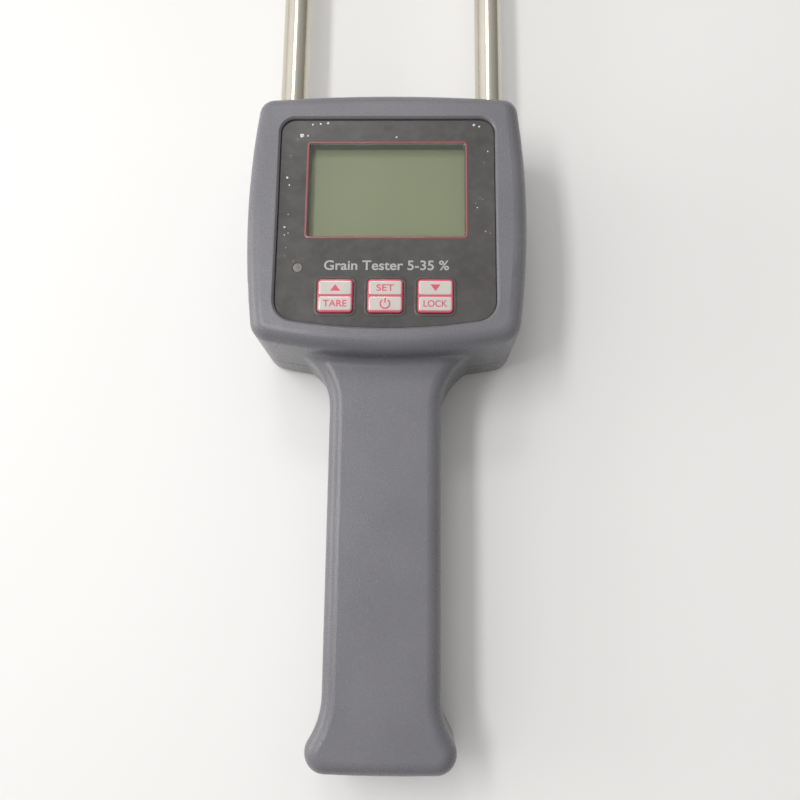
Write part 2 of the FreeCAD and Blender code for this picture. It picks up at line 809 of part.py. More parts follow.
def make_indicator():
    """A light pipe that ends flush with the overlay, over a light on the board."""
    x, y = S["indicator_x"], S["indicator_y"]
    top = S["facia_seat"] + S["facia_thickness"]
    pipe = rod("light_pipe", x, y, S["pipe_low"], top, S["indicator_radius"])
    flange_low, flange_top = S["key_flange_low"], S["key_flange_top"]
    flange = rod("light_pipe_flange", x, y, flange_low, flange_top, S["pipe_flange_radius"])
    joined("indicator_lens", [pipe, flange])
    half, reach = S["led_half_width"], S["led_half_length"]
    chip = block("led_chip", x - half, x + half, y - reach, y + reach, S["board_top"], S["led_base_top"])
    dome = rod("led_dome", x, y, S["led_base_top"], S["led_top"], S["led_dome_radius"])
    joined("indicator_led", [chip, dome])


def make_key(side, middle):
    """A key cap, with the flange that holds it in and the stem that works its switch."""
    name = f"key_{side}"
    body = key_block(name, middle, 0.0, S["key_flange_top"] - INTO, S["key_top"], S["key_round"])
    round_edges(body, S["key_edge"], level(S["key_top"]))
    flange = new_sketch(body, f"{name}_flange", S["key_flange_low"])
    half_width = S["key_width"] * 0.5 + S["key_flange_margin"] * 0.75
    half_length = S["key_length"] * 0.5 + S["key_flange_margin"]
    y = S["key_y"]
    rectangle(flange, middle - half_width, middle + half_width, y - half_length, y + half_length)
    pad(body, flange, S["key_flange_top"] - S["key_flange_low"])
    stem = new_sketch(body, f"{name}_stem", S["plunger_top"])
    circle(stem, middle, y, S["key_stem_radius"])
    pad(body, stem, S["key_flange_low"] - S["plunger_top"] + INTO)


def make_switches():
    """A tactile switch under each key: its square case, and the plunger that its key pushes."""
    cases = []
    y = S["key_y"]
    half = S["switch_width"] * 0.5
    low, high = S["board_top"], S["switch_top"]
    bore = S["plunger_radius"] + S["plunger_gap"]
    for side, x in KEY_MIDDLES.items():
        case = block(f"switch_case_{side}", x - half, x + half, y - half, y + half, low, high)
        well = rod(f"switch_well_{side}", x, y, S["switch_well"], high + PAST, bore)
        cases.append(cut(f"switch_{side}", case, [well]))
        rod(f"switch_plunger_{side}", x, y, S["plunger_low"], S["plunger_top"], S["plunger_radius"])
    group("switch_cases", cases)


def make_display():
    """The glass, the reflector behind it, the rubber strips that feed it, and the frame that holds them."""
    half, near, far = S["glass_half_width"], S["glass_low"], S["glass_far"]
    under, board, gap = S["glass_under"], S["board_top"], S["glass_gap"]
    block("lcd_glass", -half, half, near, far, under, S["glass_top"])
    ledge = S["glass_ledge"]
    mirror_low = under - S["reflector_thickness"]
    block("lcd_reflector", -half, half, near + ledge, far - ledge, mirror_low, under)
    end, inset = half - S["strip_end"], S["strip_inset"]
    reach = inset + S["strip_width"]
    strips = [
        block("near_strip", -end, end, near + inset, near + reach, board, under),
        block("far_strip", -end, end, far - reach, far - inset, board, under),
    ]
    group("zebra_strips", strips)
    wall = S["frame_wall"]
    rim = S["glass_top"] - S["window_sink"]
    blank = block("frame_blank", -half - wall, half + wall, near - wall, far + wall, board, rim)
    wide, slot = half + gap, end + gap
    above, below = S["ceiling"] + PAST, board - PAST
    tools = [
        block("glass_pocket", -wide, wide, near - gap, far + gap, under, above),
        block("reflector_pocket", -wide, wide, near + ledge - gap, far - ledge + gap, mirror_low - gap, above),
        block("near_slot", -slot, slot, near + inset - gap, near + reach + gap, below, above),
        block("far_slot", -slot, slot, far - reach - gap, far - inset + gap, below, above),
        block("frame_hollow", -slot, slot, near + ledge, far - ledge, below, S["frame_floor"]),
    ]
    cut("lcd_frame", blank, tools)


def make_board():
    body = new_body("main_board")
    sketch = new_sketch(body, "main_board_outline", S["board_low"])
    wide, narrow = S["board_half_width"], S["board_tail_half_width"]
    near, far, step = S["board_near"], S["board_far"], S["board_step_y"]
    outline = [(-narrow, near), (narrow, near), (narrow, step), (wide, step), (wide, far), (-wide, far),
               (-wide, step), (-narrow, step)]
    polygon(sketch, outline)
    pad(body, sketch, S["board_top"] - S["board_low"])
    holes = new_sketch(body, "main_board_holes", S["board_top"])
    for x, y in BOARD_SCREW_PLACES:
        circle(holes, x, y, S["board_hole_radius"])
    pocket(body, holes, S["board_top"] - S["board_low"])


def under_board(name, x, y, width, length, height):
    """A block that hangs under the board, centred at x, y."""
    face = S["board_low"]
    return block(name, x - width / 2, x + width / 2, y - length / 2, y + length / 2, face - height, face)


def make_crystal():
    """An oval can: two round ends and the block between them."""
    face = S["board_low"]
    x, y, height, radius, half_length = 14.5, 5.3, 3.6, 2.3, 3.2
    ends = [rod(f"crystal_end_{i}", x + side * half_length, y, face - height, face, radius)
            for i, side in enumerate((-1, 1))]
    joined("crystal", ends + [under_board("crystal_middle", x, y, half_length * 2, radius * 2, height)])


def make_buzzer():
    face = S["board_low"]
    y, radius, height, port_radius, port_depth = -12.0, 6.0, 5.5, 1.0, 0.6
    low = face - height
    drum = rod("buzzer_drum", 0.0, y, low, face, radius)
    cut("buzzer", drum, [rod("buzzer_port", 0.0, y, low - PAST, low + port_depth, port_radius)])


def make_trimmer():
    """A many-turn trimmer: a square case with a slotted brass screw standing out of it."""
    face = S["board_low"]
    x, y, width, height = -15.75, 6.25, 9.5, 4.8
    screw_x, screw_radius, screw_rise = -17.8, 1.2, 0.6
    slot_half_length, slot_half_width, slot_depth = 1.4, 0.25, 1.1
    low = face - height - screw_rise
    case = under_board("trimmer_case", x, y, width, width, height)
    dial = rod("trimmer_screw", screw_x, y, low, low + screw_rise + INTO, screw_radius)
    left, right = screw_x - slot_half_length, screw_x + slot_half_length
    near, far = y - slot_half_width, y + slot_half_width
    slot = block("trimmer_slot", left, right, near, far, low - PAST, low + slot_depth)
    cut("trimmer", joined("trimmer_whole", [case, dial]), [slot])


def make_board_parts():
    """What is soldered to the underside of the board. Each block is x, y, width, length, height."""
    under_board("microcontroller", 0.0, 5.0, 10.0, 10.0, 1.4)
    make_crystal()
    make_buzzer()
    make_trimmer()
    face = S["board_low"]
    capacitor_height, capacitor_radius = 5.4, 3.15
    places = [(-13.0, -13.5), (13.0, -13.5)]
    group("capacitors", posts("capacitor", places, face - capacitor_height, face, capacitor_radius))
    resistor_pitch, resistor_x = 2.6, -8.6
    group("resistors", [under_board(f"resistor_{i}", resistor_x + resistor_pitch * i, -3.0, 1.6, 0.8, 0.5)
                        for i in range(8)])
    under_board("battery_connector", 0.0, -24.5, 6.6, 5.0, 3.6)
    group("probe_connectors", [under_board(f"probe_connector_{side}", x, -2.0, 5.0, 5.0, 3.4)
                               for side, x in (("left", -PROBE_CONNECTOR_X), ("right", PROBE_CONNECTOR_X))])


# ---------------------------------------------------------------- probe


def turned(name, x, profile):
    """A turned piece about the probe axis at x. The profile is (radius, y) points."""
    body = new_body(name)
    sketch = new_sketch(body, f"{name}_profile")
    polygon(sketch, profile)
    feature = body.newObject("PartDesign::Revolution", "Revolution")
    feature.Profile = sketch
    feature.ReferenceAxis = (sketch, ["V_Axis"])
    feature.Angle = 360
    bind(body, "Placement.Base.x", x)
    bind(body, "Placement.Base.z", ROD_Z)
    doc.recompute()


def make_probe(side, x):
    """A tube, the insulating collar plugged into its end, and the pointed tip bolted through the collar."""
    neck, outer, bore = S["rod_neck_radius"], S["rod_radius"], S["rod_bore_radius"]
    start, shoulder, end = S["rod_inner_end"], S["rod_shoulder"], S["rod_outer_end"]
    narrow, step = S["rod_neck_bore_radius"], shoulder + PAST
    tube = [(narrow, start), (neck, start), (neck, shoulder), (outer, shoulder), (outer, end), (bore, end),
            (bore, step), (narrow, step)]
    turned(f"probe_rod_{side}", x, tube)
    stud = S["stud_radius"]
    plug = end - S["collar_spigot"]
    face = end + S["collar_length"]
    play = 0.02
    spigot = bore - play
    collar = [(stud, plug), (spigot, plug), (spigot, end), (outer, end), (outer, face), (stud, face)]
    turned(f"probe_collar_{side}", x, collar)
    cone = face + S["tip_shank"]
    point_y = cone + S["tip_cone"]
    thin = stud - play
    tip = [(0, plug), (thin, plug), (thin, face), (outer, face), (outer, cone), (S["tip_flat_radius"], point_y),
           (0, point_y)]
    turned(f"probe_tip_{side}", x, tip)


def make_clamp():
    """Two insulating bars that grip both rods, their screws' holes, and the clips behind them."""
    half, near, far = S["clamp_half_width"], S["clamp_near"], S["clamp_far"]
    play = 0.02
    grip = S["rod_neck_radius"] + play
    split = S["clamp_split"]
    before, after = near - PAST, far + PAST
    pilot = S["clamp_screw_radius"] + S["rod_neck_gap"]
    base = block("clamp_base_blank", -half, half, near, far, S["wall"], ROD_Z - split)
    tools = rod_holes("base_groove", grip, before, after)
    tools += posts("base_pilot", CLAMP_SCREW_PLACES, S["clamp_screw_end"] - INTO, ROD_Z + PAST, pilot)
    cut("probe_clamp_base", base, tools)
    cap = block("clamp_cap_blank", -half, half, near, far, ROD_Z + split, S["clamp_top"])
    tools = rod_holes("cap_groove", grip, before, after)
    tools += posts("cap_hole", CLAMP_SCREW_PLACES, ROD_Z - PAST, S["clamp_top"] + PAST, pilot + play * 5)
    cut("probe_clamp_cap", cap, tools)
    clips = []
    clip_far = near - split
    clip_near = clip_far - S["clip_thickness"]
    for side, x in (("left", -S["rod_x"]), ("right", S["rod_x"])):
        disc = rod(f"clip_disc_{side}", x, ROD_Z, clip_near, clip_far, S["clip_radius"], "y")
        hole = rod(f"clip_hole_{side}", x, ROD_Z, clip_near - PAST, clip_far + PAST, grip, "y")
        clips.append(cut(f"clip_{side}", disc, [hole]))
    group("rod_clips", clips)


def wire_path(points):
    """Straight runs joined by tangent arcs, each as large as its two runs allow."""
    edges = []
    here = points[0]
    for before, corner, after in zip(points, points[1:], points[2:]):
        back = (before - corner).normalize()
        ahead = (after - corner).normalize()
        reach = 0.45 * min((before - corner).Length, (after - corner).Length)
        half_turn = (math.pi - back.getAngle(ahead)) / 2
        radius = reach / math.tan(half_turn)
        first = corner + back * reach
        last = corner + ahead * reach
        inward = (back + ahead).normalize()
        middle = corner + inward * (radius / math.cos(half_turn) - radius)
        edges.append(Part.makeLine(here, first))
        edges.append(Part.Arc(first, middle, last).toShape())
        here = last
    edges.append(Part.makeLine(here, points[-1]))
    return Part.Wire(edges)


def make_wire(name, points, radius):
    """An insulated wire, held along its whole route."""
    path = wire_path(points)
    ring = Part.Wire([Part.makeCircle(radius, points[0], points[1] - points[0])])
    solid = path.makePipeShell([ring], True, False)
    expected = math.pi * radius**2 * path.Length
    if abs(solid.Volume / expected - 1) > 0.02:
        raise RuntimeError(f"{name}: the wire's volume is off its section times its length")
    wire = doc.addObject("Part::Feature", name)
    wire.Label = name
    wire.Shape = solid
    return wire


def make_leads():
    """The wire from each tip through its rod to the board, and the two battery wires."""
    radius = number(S["lead_radius"])
    rod_x, rod_z = number(S["rod_x"]), number(ROD_Z)
    start = number(S["rod_outer_end"]) - number(S["collar_spigot"])
    turn_y, connector_z = -2.0, 18.6
    for side, sign in (("left", -1), ("right", 1)):
        connector_x = sign * PROBE_CONNECTOR_X
        route = [Vector(sign * rod_x, start, rod_z), Vector(sign * rod_x, turn_y, rod_z),
                 Vector(connector_x, turn_y, rod_z), Vector(connector_x, turn_y, connector_z)]
        make_wire(f"probe_lead_{side}", route, radius)
    plate_y = number(S["tray_head_y"]) - number(S["tray_wall"])
    cell_x = number(S["cell_x"])
    low = number(S["battery_lead_z"])
    outside_y, connector_y, pin_x, pin_z = -32.5, -24.5, 1.4, 18.4
    for colour, sign in (("red", -1), ("black", 1)):
        route = [Vector(sign * cell_x, plate_y, low), Vector(sign * cell_x, outside_y, low),
                 Vector(sign * pin_x, connector_y, low), Vector(sign * pin_x, connector_y, pin_z)]
        make_wire(f"battery_lead_{colour}", route, radius)


# ---------------------------------------------------------------- batteries


def make_tray():
    half, wall = S["tray_half_width"], S["tray_wall"]
    near, far = S["tray_butt_y"], S["tray_head_y"]
    blank = block("tray_blank", -half, half, near, far, S["tray_low"], S["tray_roof"])
    under_roof = S["tray_roof"] - wall
    inside = block("tray_inside", wall - half, half - wall, near + wall, far - wall, 0.0, under_roof)
    holes = []
    for side, x in (("left", -S["cell_x"]), ("right", S["cell_x"])):
        bore = S["lead_radius"] + S["door_gap"]
        holes.append(rod(f"lead_hole_{side}", x, S["battery_lead_z"], far - wall * 2, far + PAST, bore, "y"))
    cut("battery_tray", blank, [inside] + holes)


def make_cell(index, x, flat_end, direction):
    """An AAA cell from its flat end, pointing along +Y or -Y."""
    can_end = flat_end + S["cell_length"] * direction
    nub_end = can_end + S["cell_nub_length"] * direction
    low, high = sorted([flat_end, can_end], key=number)
    can = rod(f"cell_can_{index}", x, S["cell_z"], low, high, S["cell_radius"], "y")
    low, high = sorted([can_end, nub_end], key=number)
    nub = rod(f"cell_nub_{index}", x, S["cell_z"], low, high, S["cell_nub_radius"], "y")
    joined(f"battery_cell_{index}", [can, nub])
    return nub_end


def coil_spring(name, x, near, far, radius, wire_radius, turns):
    """A battery contact spring between two faces along Y."""
    rise = far - near - 2 * wire_radius
    helix = Part.makeHelix(rise / turns, rise, radius)
    ring = Part.Wire([Part.makeCircle(wire_radius, Vector(radius, 0, 0), Vector(0, 1, 0))])
    spring = doc.addObject("Part::Feature", name)
    spring.Label = name
    spring.Shape = Part.Wire(helix.Edges).makePipeShell([ring], True, True)
    place = Vector(x, near + wire_radius, number(S["cell_z"]))
    spring.Placement = FreeCAD.Placement(place, FreeCAD.Rotation(Vector(1, 0, 0), -90))
    return spring


def make_batteries():
    """Two cells end to end on each side, the sides facing opposite ways."""
    plate = S["contact_plate"]
    head_face = S["tray_head_y"] - S["tray_wall"] - plate
    butt_face = S["tray_butt_y"] + S["tray_wall"] + plate
    length = S["cell_length"] + S["cell_nub_length"]
    make_cell(1, -S["cell_x"], head_face - length, 1)
    make_cell(2, -S["cell_x"], head_face - length * 2, 1)
    make_cell(3, S["cell_x"], butt_face + length, -1)
    make_cell(4, S["cell_x"], butt_face + length * 2, -1)
    left_end = number(head_face) - 2 * number(length)
    right_end = number(butt_face) + 2 * number(length)
    cell_x = number(S["cell_x"])
    radius, wire_radius, turns = 3.2, 0.35, 5
    springs = [coil_spring("spring_left", -cell_x, number(butt_face), left_end, radius, wire_radius, turns),
               coil_spring("spring_right", cell_x, right_end, number(head_face), radius, wire_radius, turns)]
    group("battery_springs", springs)
    inner, outer = S["contact_inner"], S["contact_outer"]
    low, high = S["contact_low"], S["contact_high"]
    plates = [block("plate_plus", -outer, -inner, head_face, head_face + plate, low, high),
              block("plate_minus", inner, outer, head_face, head_face + plate, low, high),
              block("plate_link", -outer, outer, butt_face - plate, butt_face, low, high)]
    group("battery_contacts", plates)


# ---------------------------------------------------------------- the whole meter

NODES = """front_shell rear_shell battery_door housing_screws panel_overlay display_window indicator_lens
indicator_led key_left key_centre key_right switch_cases switch_plunger_left switch_plunger_centre
switch_plunger_right lcd_glass lcd_reflector lcd_frame zebra_strips main_board board_screws microcontroller
crystal capacitors resistors buzzer trimmer battery_connector probe_connectors probe_clamp_base
probe_clamp_cap clamp_screws rod_clips probe_rod_left probe_rod_right probe_collar_left probe_collar_right
probe_tip_left probe_tip_right probe_lead_left probe_lead_right battery_tray battery_cell_1 battery_cell_2
battery_cell_3 battery_cell_4 battery_springs battery_contacts battery_lead_red battery_lead_black""".split()


def check_and_write():
    """Stop if anything failed to build, then write each sub-part to its own file."""
    doc.recompute()
    failed = [item.Name for item in doc.Objects if "Invalid" in item.State or "Error" in item.State]
    if failed:
        raise RuntimeError(f"these did not build: {failed}")
    for name in NODES:
        shape = doc.getObjectsByLabel(name)[0].Shape
        if shape.isNull() or not shape.isValid():
            raise RuntimeError(f"{name} is not a valid shape")
        shape.exportStep(f"parts/{name}.step")


def main():
    form = part_edges("housing_outside", housing_form(), S["neck_blend"], in_neck, "Fillet")
    make_front_shell(form)
    make_rear_shell(form)
    make_battery_door(form)
    make_screws()
    make_facia()
    make_indicator()
    for side, middle in KEY_MIDDLES.items():
        make_key(side, middle)
    make_switches()
    make_display()
    make_board()
    make_board_parts()
    for side, x in (("left", -S["rod_x"]), ("right", S["rod_x"])):
        make_probe(side, x)
    make_clamp()
    make_leads()
    make_tray()
    make_batteries()
    check_and_write()


main()
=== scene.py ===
import json
import math
import random

import bpy
from mathutils import Matrix, Vector


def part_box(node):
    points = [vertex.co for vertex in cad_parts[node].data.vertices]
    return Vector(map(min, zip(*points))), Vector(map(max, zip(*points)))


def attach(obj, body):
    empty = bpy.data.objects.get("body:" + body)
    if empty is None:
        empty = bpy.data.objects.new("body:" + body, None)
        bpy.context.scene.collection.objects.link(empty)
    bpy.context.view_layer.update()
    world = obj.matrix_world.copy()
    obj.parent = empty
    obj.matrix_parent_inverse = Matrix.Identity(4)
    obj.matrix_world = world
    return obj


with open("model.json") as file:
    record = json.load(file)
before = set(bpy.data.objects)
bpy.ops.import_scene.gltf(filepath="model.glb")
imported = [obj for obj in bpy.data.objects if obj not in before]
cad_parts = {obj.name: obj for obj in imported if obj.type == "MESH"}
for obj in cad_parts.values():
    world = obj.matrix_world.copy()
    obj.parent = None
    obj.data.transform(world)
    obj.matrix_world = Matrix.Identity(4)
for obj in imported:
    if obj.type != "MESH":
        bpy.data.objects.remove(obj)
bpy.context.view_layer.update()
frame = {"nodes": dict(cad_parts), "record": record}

NODES = frame["nodes"]
MM = 0.001


# ---------------------------------------------------------------- colours


def linear(red, green, blue):
    """A colour given as 0 to 255 display values, as the shader wants it."""
    def channel(value):
        value /= 255
        return value / 12.92 if value <= 0.04045 else ((value + 0.055) / 1.055) ** 2.4
    return (channel(red), channel(green), channel(blue), 1.0)


def dim(colour, factor):
    return tuple(channel * factor for channel in colour[:3]) + (1.0,)


HOUSING_DARK = linear(108, 107, 112)
HOUSING_LIGHT = linear(115, 114, 119)
HOUSING_FLECK = linear(150, 149, 153)
HOUSING_PIT = linear(88, 87, 91)
FILM_DARK = linear(74, 72, 71)
FILM_LIGHT = linear(85, 83, 82)
FILM_MOTTLE = linear(103, 100, 100)
# Painted glints: the film blisters are coloured grey to near white to stand in for the light they catch.
PAINTED_GLINT_GREY = linear(150, 148, 147)
PAINTED_GLINT_WHITE = linear(246, 246, 246)
DISPLAY_DARK = linear(133, 141, 109)
DISPLAY_LIGHT = linear(140, 149, 115)
DISPLAY_SPECK = linear(176, 182, 150)
DISPLAY_GRID = linear(96, 104, 84)
LENS_DARK = linear(110, 106, 104)
LENS_LIGHT = linear(138, 134, 132)
BORDER_RED = linear(134, 73, 70)
TITLE_GREY = linear(170, 169, 168)
KEY_PINK = linear(214, 76, 100)
KEY_PALE = linear(200, 193, 188)
FLOOR_COLOUR = linear(238, 237, 236)
MASK_DARK = (0.012, 0.10, 0.035, 1.0)
MASK_LIGHT = (0.02, 0.16, 0.055, 1.0)
MASK_OVER_COPPER = (0.045, 0.26, 0.09, 1.0)
TIN = (0.62, 0.58, 0.48, 1.0)
CARBON = (0.02, 0.02, 0.02, 1.0)
PINK_RUBBER = (0.45, 0.2, 0.2, 1.0)
SLEEVE_DARK = (0.018, 0.02, 0.026, 1.0)
SLEEVE_SCUFF = (0.04, 0.042, 0.05, 1.0)
COPPER_FOIL = (0.5, 0.26, 0.12, 1.0)
CAN_STEEL = (0.6, 0.6, 0.6, 1.0)


# ---------------------------------------------------------------- shader helpers


class Nodes:
    """Short ways to add and join the nodes of one tree."""

    def __init__(self, tree):
        self.tree = tree

    def put(self, socket, value):
        """Set an input socket to a value, or join another socket to it."""
        if isinstance(value, bpy.types.NodeSocket):
            self.tree.links.new(value, socket)
        else:
            socket.default_value = value

    def add(self, kind, **inputs):
        node = self.tree.nodes.new(kind)
        for key, value in inputs.items():
            self.put(node.inputs[key.replace("_", " ")], value)
        return node

    def remap(self, value, low, high, to_low, to_high, smooth=False):
        node = self.tree.nodes.new("ShaderNodeMapRange")
        if smooth:
            node.interpolation_type = "SMOOTHSTEP"
        settings = (value, low, high, to_low, to_high)
        for key, item in zip(("Value", "From Min", "From Max", "To Min", "To Max"), settings):
            self.put(node.inputs[key], item)
        return node.outputs["Result"]

    def math(self, operation, first, second=0.0):
        node = self.tree.nodes.new("ShaderNodeMath")
        node.operation = operation
        for socket, value in zip(node.inputs, (first, second)):
            self.put(socket, value)
        return node.outputs[0]


class Shader(Nodes):
    """The nodes of a new material."""

    def __init__(self, name):
        self.material = bpy.data.materials.new(name)
        self.material.use_nodes = True
        super().__init__(self.material.node_tree)
        self.tree.nodes.clear()
        self.output = self.tree.nodes.new("ShaderNodeOutputMaterial")

    def place(self, kind="Object", stretch=(1.0, 1.0, 1.0), turn=0.0):
        """Object coordinates are metres; Generated ones run from 0 to 1 over the object."""
        source = self.add("ShaderNodeTexCoord").outputs[kind]
        angles = (0.0, 0.0, math.radians(turn))
        return self.add("ShaderNodeMapping", Vector=source, Scale=stretch, Rotation=angles).outputs["Vector"]

    def noise(self, scale, detail=3.0, roughness=0.5, vector=None):
        spot = self.place() if vector is None else vector
        node = self.add("ShaderNodeTexNoise", Vector=spot, Scale=scale, Detail=detail, Roughness=roughness)
        return node.outputs["Fac"]

    def dots(self, scale):
        """Distance to the nearest of many scattered points."""
        return self.add("ShaderNodeTexVoronoi", Vector=self.place(), Scale=scale).outputs["Distance"]

    def waves(self, scale, distortion=0.0):
        """Stripes across X."""
        node = self.add("ShaderNodeTexWave", Vector=self.place(), Scale=scale, Distortion=distortion)
        return node.outputs["Fac"]

    def mix(self, factor, first, second):
        """Blend two colours."""
        node = self.tree.nodes.new("ShaderNodeMix")
        node.data_type = "RGBA"
        self.put(node.inputs["Factor"], factor)
        colours = [socket for socket in node.inputs if socket.type == "RGBA"]
        for socket, value in zip(colours, (first, second)):
            self.put(socket, value)
        return next(socket for socket in node.outputs if socket.type == "RGBA")

    def clouded(self, field, low, high, first, second):
        """A colour that drifts from one to the other as a field rises from low to high."""
        return self.mix(self.remap(field, low, high, 0.0, 1.0), first, second)

    def bump(self, height, distance, strength=1.0, normal=None):
        node = self.add("ShaderNodeBump", Height=height, Distance=distance, Strength=strength)
        if normal is not None:
            self.put(node.inputs["Normal"], normal)
        return node.outputs["Normal"]

    def soft_edge(self, radius):
        """A normal that turns smoothly over every edge, as a moulded edge does."""
        node = self.tree.nodes.new("ShaderNodeBevel")
        node.samples = 6
        node.inputs["Radius"].default_value = radius
        return node.outputs["Normal"]

    def finish(self, **inputs):
        """Close the material with a principled surface."""
        node = self.add("ShaderNodeBsdfPrincipled", **inputs)
        self.tree.links.new(node.outputs[0], self.output.inputs["Surface"])
        return self.material


# ---------------------------------------------------------------- materials


def housing_plastic():
    """Grey ABS from a spark-eroded mould: fine sparkling grain, satin, faintly mottled, soft edges."""
    s = Shader("housing_plastic")
    cloud = s.noise(55.0)
    grain = s.noise(4300.0, 2.0, 0.6)
    fleck = s.noise(2300.0, 2.0, 0.55)
    colour = s.clouded(cloud, 0.3, 0.7, HOUSING_DARK, HOUSING_LIGHT)
    colour = s.mix(s.remap(fleck, 0.6, 0.78, 0.0, 0.3), colour, HOUSING_FLECK)
    colour = s.mix(s.remap(grain, 0.25, 0.42, 0.35, 0.0), colour, HOUSING_PIT)
    rough = s.remap(grain, 0.3, 0.7, 0.2, 0.36)
    height = s.math("ADD", grain, s.math("MULTIPLY", fleck, 0.8))
    normal = s.bump(height, 0.06 * MM, 0.75, s.soft_edge(0.3 * MM))
    return s.finish(Base_Color=colour, Roughness=rough, Normal=normal, Specular_IOR_Level=0.5)


def facia_film():
    """Smoky printed film with a gloss skin that is slightly wavy where it was laid down by hand."""
    s = Shader("facia_film")
    smoke = s.noise(70.0, 4.0, 0.6)
    mottle = s.noise(420.0, 3.0, 0.6)
    colour = s.clouded(smoke, 0.32, 0.68, FILM_DARK, FILM_LIGHT)
    colour = s.mix(s.remap(mottle, 0.45, 0.75, 0.0, 0.3), colour, FILM_MOTTLE)
    rough = s.remap(s.noise(260.0), 0.3, 0.7, 0.16, 0.34)
    wave = s.math("ADD", s.noise(150.0, 2.0), s.math("MULTIPLY", mottle, 0.15))
    normal = s.bump(wave, 0.2 * MM, 0.25, s.soft_edge(0.25 * MM))
    return s.finish(Base_Color=colour, Roughness=rough, Normal=normal, Specular_IOR_Level=0.3)


def moulded(name, colour, rough, grain=0.02 * MM):
    """Plain moulded plastic: a faint cloud in the colour and a fine bloom in the finish."""
    s = Shader(name)
    cloud = s.noise(90.0)
    fine = s.noise(2200.0, 2.0)
    mixed = s.clouded(cloud, 0.3, 0.7, dim(colour, 0.88), colour)
    bloom = s.remap(fine, 0.3, 0.7, rough - 0.05, rough + 0.07)
    normal = s.bump(fine, grain, 0.3, s.soft_edge(0.2 * MM))
    return s.finish(Base_Color=mixed, Roughness=bloom, Normal=normal)


def glossy_ink(name, colour, rough):
    """Printed ink under a thin gloss skin, a little uneven as screen print is."""
    s = Shader(name)
    pores = s.noise(1500.0, 3.0, 0.6)
    wash = s.noise(240.0)
    mixed = s.clouded(wash, 0.3, 0.7, dim(colour, 0.92), colour)
    mixed = s.mix(s.remap(pores, 0.62, 0.8, 0.0, 0.25), mixed, dim(colour, 0.75))
    normal = s.bump(pores, 0.01 * MM, 0.3)
    return s.finish(Base_Color=mixed, Roughness=rough, Normal=normal, Coat_Weight=0.6, Coat_Roughness=0.05)


def metal(name, colour, rough, stretch=(1.0, 1.0, 1.0)):
    """Bright metal. Shrinking one axis of the pattern draws its fine scratches along that axis."""
    s = Shader(name)
    scratch = s.noise(900.0, 3.0, 0.6, s.place(stretch=stretch))
    smear = s.noise(45.0)
    tint = s.clouded(smear, 0.3, 0.7, dim(colour, 0.9), colour)
    polish = s.remap(scratch, 0.3, 0.7, rough * 0.75, rough * 1.3)
    normal = s.bump(scratch, 0.002 * MM, 0.15, s.soft_edge(0.12 * MM))
    return s.finish(Base_Color=tint, Metallic=1.0, Roughness=polish, Normal=normal)


def painted_glint_bubble_skin():
    """Air under the film: a blister coloured pale and cloudy, near white, as a painted glint, with a wet
    shine.
    """
    s = Shader("film_bubble_painted_glint")
    cloud = s.noise(2600.0, 3.0, 0.6)
    colour = s.clouded(cloud, 0.35, 0.65, PAINTED_GLINT_GREY, PAINTED_GLINT_WHITE)
    normal = s.bump(cloud, 0.03 * MM, 0.4)
    return s.finish(Base_Color=colour, Roughness=0.12, Coat_Weight=1.0, Coat_Roughness=0.04, Normal=normal)


def clear_film():
    """Clear window film: nearly all light passes, with a weak uneven reflection."""
    s = Shader("clear_film")
    through = s.add("ShaderNodeBsdfTransparent", Color=(0.97, 0.97, 0.96, 1.0))
    haze = s.remap(s.noise(500.0), 0.4, 0.7, 0.04, 0.14)
    ripple = s.bump(s.noise(180.0, 2.0), 0.1 * MM, 0.15)
    shine = s.add("ShaderNodeBsdfGlossy", Color=(1.0, 1.0, 1.0, 1.0), Roughness=haze, Normal=ripple)
    edge = s.add("ShaderNodeFresnel", IOR=1.45)
    blend = s.add("ShaderNodeMixShader", Fac=s.math("MULTIPLY", edge.outputs["Fac"], 0.7))
    s.put(blend.inputs[1], through.outputs[0])
    s.put(blend.inputs[2], shine.outputs[0])
    s.put(s.output.inputs["Surface"], blend.outputs[0])
    return s.material


def display_glass():
    """Unlit reflective display: grey-green, with the ghost of its pixel grid and a soft sheen."""
    s = Shader("display_glass")
    drift = s.noise(35.0, 2.0)
    speck = s.noise(1900.0, 2.0)
    colour = s.clouded(drift, 0.3, 0.7, DISPLAY_DARK, DISPLAY_LIGHT)
    colour = s.mix(s.remap(speck, 0.55, 0.8, 0.0, 0.18), colour, DISPLAY_SPECK)
    colour = s.mix(s.remap(s.waves(900.0), 0.9, 1.0, 0.0, 0.05), colour, DISPLAY_GRID)
    return s.finish(Base_Color=colour, Roughness=0.38, Normal=s.bump(speck, 0.004 * MM, 0.3))


def smoked_lens():
    """Moulded light pipe: grey and cloudy, with a soft rim."""
    s = Shader("indicator_plastic")
    cloud = s.noise(700.0, 3.0, 0.6)
    colour = s.clouded(cloud, 0.3, 0.7, LENS_DARK, LENS_LIGHT)
    normal = s.bump(cloud, 0.03 * MM, 0.3, s.soft_edge(0.2 * MM))
    return s.finish(Base_Color=colour, Roughness=0.3, Subsurface_Weight=0.15, Subsurface_Scale=0.5 * MM,
                    Normal=normal)


